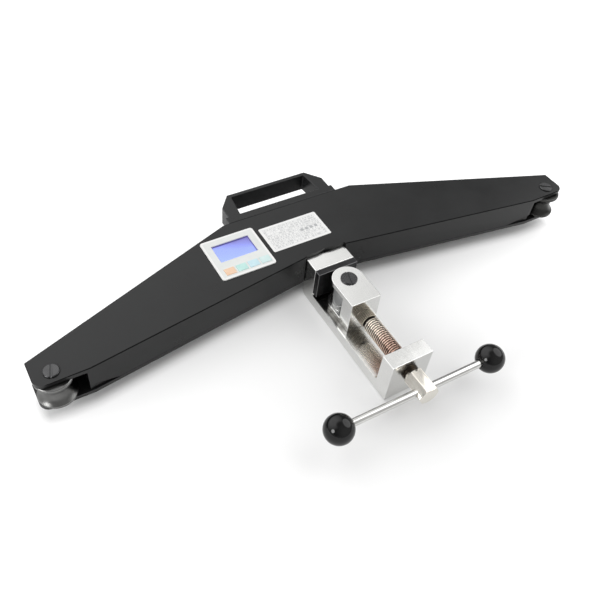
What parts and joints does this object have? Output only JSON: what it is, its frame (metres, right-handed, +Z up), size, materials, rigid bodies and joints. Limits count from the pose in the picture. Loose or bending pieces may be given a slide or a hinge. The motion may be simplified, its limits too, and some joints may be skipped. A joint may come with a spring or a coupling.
{
  "type": "wire rope tension meter",
  "caption": "Portable wire rope tension meter: flat black housing with end rollers, handle and display, and a screw clamp with slider, roller and tommy bar on its front.",
  "frame": {"origin": "on the underside of the clamp frame, at the middle of the housing's length and in the plane of the jaw pad's rope face", "axes": "+X along the housing to the right-hand roller, +Y from the clamp screw to the carrying handle, +Z up through the display"},
  "size_m": [0.6424, 0.3232, 0.0581],
  "materials": {
    "housing_black": "satin black anodised",
    "handle_black": "satin black anodised",
    "panel_white": "matt off-white overlay",
    "window_clear": "clear window",
    "screen_blue": "blue-violet backlit screen",
    "board_green": "green solder mask",
    "brass": "machined",
    "key_orange": "matt orange key",
    "key_teal": "matt teal key",
    "key_cyan": "matt light cyan key",
    "key_grey": "matt pale grey-blue key",
    "label_white": "printed white film, left without words",
    "battery": "moulded holder with shrink-wrapped cells",
    "cell_aluminium": "clear anodised",
    "fastener_steel": "zinc plated",
    "clamp_nickel": "satin nickel plated",
    "pad_black": "black oxide, ground",
    "pin_dark": "dark blued steel with a bright rim",
    "roller_steel": "ground and polished",
    "screw_steel": "bright turned steel",
    "bar_chrome": "chrome plated",
    "ball_black": "glossy black moulded"
  },
  "bodies": {
    "body": {"housing": "housing_black", "base_cover": "housing_black", "base_cover_screws": "fastener_steel", "handle": "handle_black", "handle_bolts": "fastener_steel", "display_panel": "panel_white", "display_window": "window_clear", "lcd_module": "screen_blue", "circuit_board": "board_green", "board_pillars": "brass", "data_label": "label_white", "battery_pack": "battery", "load_cell": "cell_aluminium", "load_cell_bolts": "fastener_steel", "clamp_frame": "clamp_nickel", "clamp_bolts": "fastener_steel", "jaw_pad": "pad_black", "jaw_pad_screws": "fastener_steel", "left_roller_pin": "pin_dark", "right_roller_pin": "pin_dark", "pin_clips": "fastener_steel"},
    "left_roller": {"left_roller": "roller_steel", "left_bush": "brass"},
    "right_roller": {"right_roller": "roller_steel", "right_bush": "brass"},
    "slider": {"slider_block": "clamp_nickel", "slider_pin": "pin_dark"},
    "clamp_roller": {"clamp_roller": "roller_steel", "clamp_bush": "brass"},
    "screw": {"clamp_screw": "screw_steel", "thrust_collar": "screw_steel", "screw_clip": "fastener_steel"},
    "bar": {"tommy_bar": "bar_chrome", "left_ball_knob": "ball_black", "right_ball_knob": "ball_black"},
    "key_1": {"key_1": "key_orange"},
    "key_2": {"key_2": "key_teal"},
    "key_3": {"key_3": "key_cyan"},
    "key_4": {"key_4": "key_grey"}
  },
  "joints": [
    {"name": "slider_travel", "type": "slide", "parent": "body", "child": "slider", "axis": [0, 1, 0], "range_m": [-0.0481, 0.00125]},
    {"name": "screw_turn", "type": "hinge", "parent": "slider", "child": "screw", "pos_m": [0, -0.06, 0.0335], "axis": [0, 1, 0], "range_deg": [-6912, 172.8]},
    {"name": "tommy_bar_slide", "type": "slide", "parent": "screw", "child": "bar", "axis": [0.9997, 0, -0.0244], "range_m": [-0.0567, 0.0698]},
    {"name": "clamp_roller_spin", "type": "hinge", "parent": "slider", "child": "clamp_roller", "pos_m": [0, -0.0195, 0.035], "axis": [0, 0, 1], "continuous": true},
    {"name": "left_roller_spin", "type": "hinge", "parent": "body", "child": "left_roller", "pos_m": [-0.3027, 0.0019, 0.036], "axis": [0, 0, 1], "continuous": true},
    {"name": "right_roller_spin", "type": "hinge", "parent": "body", "child": "right_roller", "pos_m": [0.3027, 0.0019, 0.036], "axis": [0, 0, 1], "continuous": true},
    {"name": "key_1_press", "type": "slide", "parent": "body", "child": "key_1", "axis": [0, 0, -1], "range_m": [0, 0.0004], "stiffness_N_per_m": 1000, "springref_m": -0.0005},
    {"name": "key_2_press", "type": "slide", "parent": "body", "child": "key_2", "axis": [0, 0, -1], "range_m": [0, 0.0004], "stiffness_N_per_m": 1000, "springref_m": -0.0005},
    {"name": "key_3_press", "type": "slide", "parent": "body", "child": "key_3", "axis": [0, 0, -1], "range_m": [0, 0.0004], "stiffness_N_per_m": 1000, "springref_m": -0.0005},
    {"name": "key_4_press", "type": "slide", "parent": "body", "child": "key_4", "axis": [0, 0, -1], "range_m": [0, 0.0004], "stiffness_N_per_m": 1000, "springref_m": -0.0005}
  ],
  "couplings": [
    {"joint": "slider_travel", "follows": "screw_turn", "m_per_rad": 0.00039789}
  ]
}
